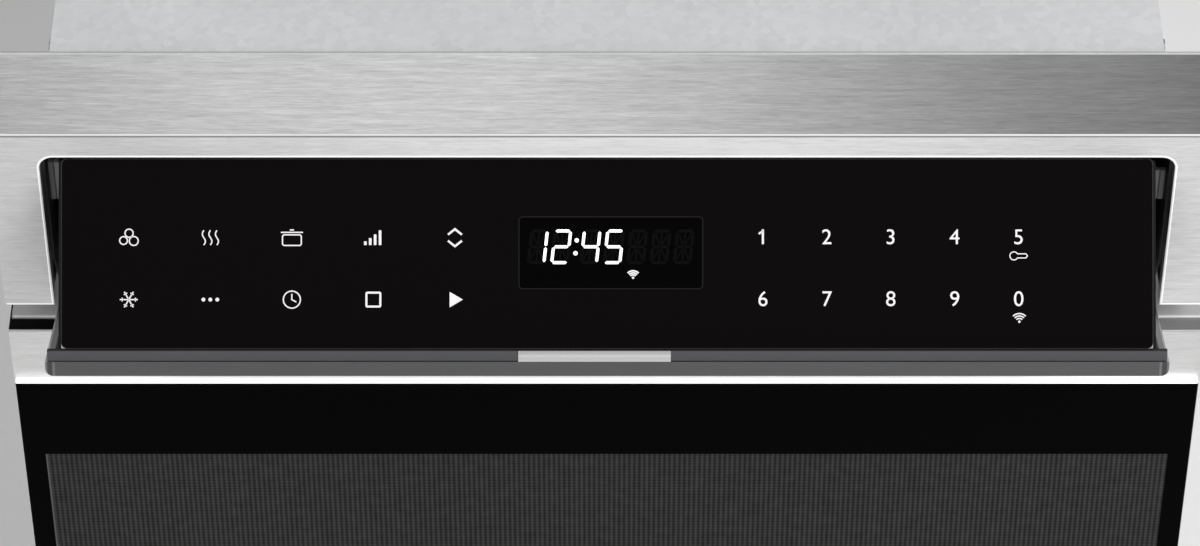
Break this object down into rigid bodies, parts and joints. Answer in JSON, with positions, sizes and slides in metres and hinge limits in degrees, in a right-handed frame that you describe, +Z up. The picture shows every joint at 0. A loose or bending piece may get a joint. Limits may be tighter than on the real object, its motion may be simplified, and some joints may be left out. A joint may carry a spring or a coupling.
{
  "type": "microwave drawer",
  "caption": "Built-in drawer microwave with a brushed steel front, a tip-out glass control flap shown open and a sliding tub behind a dark glass window.",
  "frame": {"origin": "centre in X and Y of the whole drawer as it stands, on the plane of the base", "axes": "+X to the right seen from the front, +Y to the back, +Z up; the front faces -Y"},
  "size_m": [0.6064, 0.7234, 0.437],
  "materials": {
    "brushed_steel": "horizontally brushed stainless steel",
    "dark_steel": "brushed stainless steel",
    "bright_trim": "bright brushed",
    "dark_trim": "satin dark grey",
    "grey_trim": "satin grey",
    "dark_plastic": "matte black",
    "grey_plastic": "matte dark grey",
    "black_glass": "glossy black-backed glass",
    "screen_steel": "perforated, black",
    "sheet_steel": "galvanised sheet",
    "enamel": "grey cavity paint",
    "tub_plate": "smooth glass-ceramic plate",
    "rail_steel": "zinc plated",
    "gear_plastic": "natural acetal",
    "fin_aluminium": "bare",
    "core_iron": "varnished laminations",
    "board_green": "circuit board",
    "screw_zinc": "zinc plated"
  },
  "bodies": {
    "chassis": {"base_pan": "sheet_steel", "side_panel_left": "sheet_steel", "side_panel_right": "sheet_steel", "top_cover": "sheet_steel", "rear_panel": "sheet_steel", "cord_gland": "dark_plastic", "front_frame": "sheet_steel", "upper_fascia": "brushed_steel", "flap_housing": "dark_plastic", "hinge_bracket_left": "sheet_steel", "hinge_bracket_right": "sheet_steel", "rotary_damper": "dark_plastic", "damper_bracket": "sheet_steel", "outer_rail_left": "rail_steel", "outer_rail_right": "rail_steel", "pinion_bearing": "sheet_steel", "drive_gearbox": "dark_plastic", "drive_motor": "sheet_steel", "cavity_ceiling": "enamel", "stirrer_cover": "gear_plastic", "waveguide": "sheet_steel", "stirrer_motor": "sheet_steel", "magnetron": "fin_aluminium", "transformer": "core_iron", "hv_capacitor": "fin_aluminium", "power_board": "board_green", "interlock_switches": "dark_plastic", "blower_housing": "dark_plastic", "blower_motor": "sheet_steel", "chassis_screws": "screw_zinc"},
    "control_flap": {"flap_fascia": "dark_steel", "flap_lip": "dark_trim", "flap_end_caps": "grey_plastic", "flap_tab": "bright_trim", "flap_glass": "black_glass", "flap_tray": "dark_plastic", "touch_board": "board_green", "display_module": "dark_plastic", "flap_cheek_left": "grey_plastic", "flap_cheek_right": "grey_plastic", "pivot_pins": "rail_steel"},
    "drawer": {"drawer_skin": "brushed_steel", "drawer_glass": "black_glass", "window_screen": "screen_steel", "drawer_top_trim": "grey_trim", "drawer_frame": "sheet_steel", "choke_plate": "sheet_steel", "choke_cover": "dark_plastic", "latch_hooks": "dark_plastic", "drawer_tub": "enamel", "tub_floor_plate": "tub_plate", "inner_rail_left": "rail_steel", "inner_rail_right": "rail_steel", "drive_rack": "gear_plastic"},
    "mid_rail_left": {"mid_rail_left": "rail_steel"},
    "mid_rail_right": {"mid_rail_right": "rail_steel"},
    "drive_pinion": {"drive_pinion": "gear_plastic"},
    "damper_pinion": {"damper_pinion": "gear_plastic"},
    "blower_wheel": {"blower_wheel": "dark_plastic"},
    "stirrer_fan": {"stirrer_fan": "fin_aluminium"}
  },
  "joints": [
    {"name": "flap_hinge", "type": "hinge", "parent": "chassis", "child": "control_flap", "pos_m": [0, -0.27181, 0.3314], "axis": [-1, 0, 0], "range_deg": [0, 71]},
    {"name": "drawer_slide", "type": "slide", "parent": "chassis", "child": "drawer", "axis": [0, -1, 0], "range_m": [0, 0.38]},
    {"name": "mid_slide_left", "type": "slide", "parent": "chassis", "child": "mid_rail_left", "axis": [0, -1, 0], "range_m": [0, 0.19]},
    {"name": "mid_slide_right", "type": "slide", "parent": "chassis", "child": "mid_rail_right", "axis": [0, -1, 0], "range_m": [0, 0.19]},
    {"name": "pinion_spin", "type": "hinge", "parent": "chassis", "child": "drive_pinion", "pos_m": [0, -0.19426, 0.038], "axis": [1, 0, 0], "range_deg": [0, 1362]},
    {"name": "damper_spin", "type": "hinge", "parent": "chassis", "child": "damper_pinion", "pos_m": [-0.26, -0.26487, 0.37079], "axis": [-1, 0, 0], "range_deg": [-285, 0]},
    {"name": "blower_spin", "type": "hinge", "parent": "chassis", "child": "blower_wheel", "pos_m": [0.175, 0.29574, 0.33], "axis": [1, 0, 0], "continuous": true},
    {"name": "stirrer_spin", "type": "hinge", "parent": "chassis", "child": "stirrer_fan", "pos_m": [0, -0.02426, 0.268], "axis": [0, 0, 1], "continuous": true}
  ],
  "couplings": [
    {"joint": "mid_slide_left", "follows": "drawer_slide", "ratio": 0.5},
    {"joint": "mid_slide_right", "follows": "drawer_slide", "ratio": 0.5},
    {"joint": "pinion_spin", "follows": "drawer_slide", "rad_per_m": 62.5},
    {"joint": "damper_spin", "follows": "flap_hinge", "ratio": -4}
  ]
}
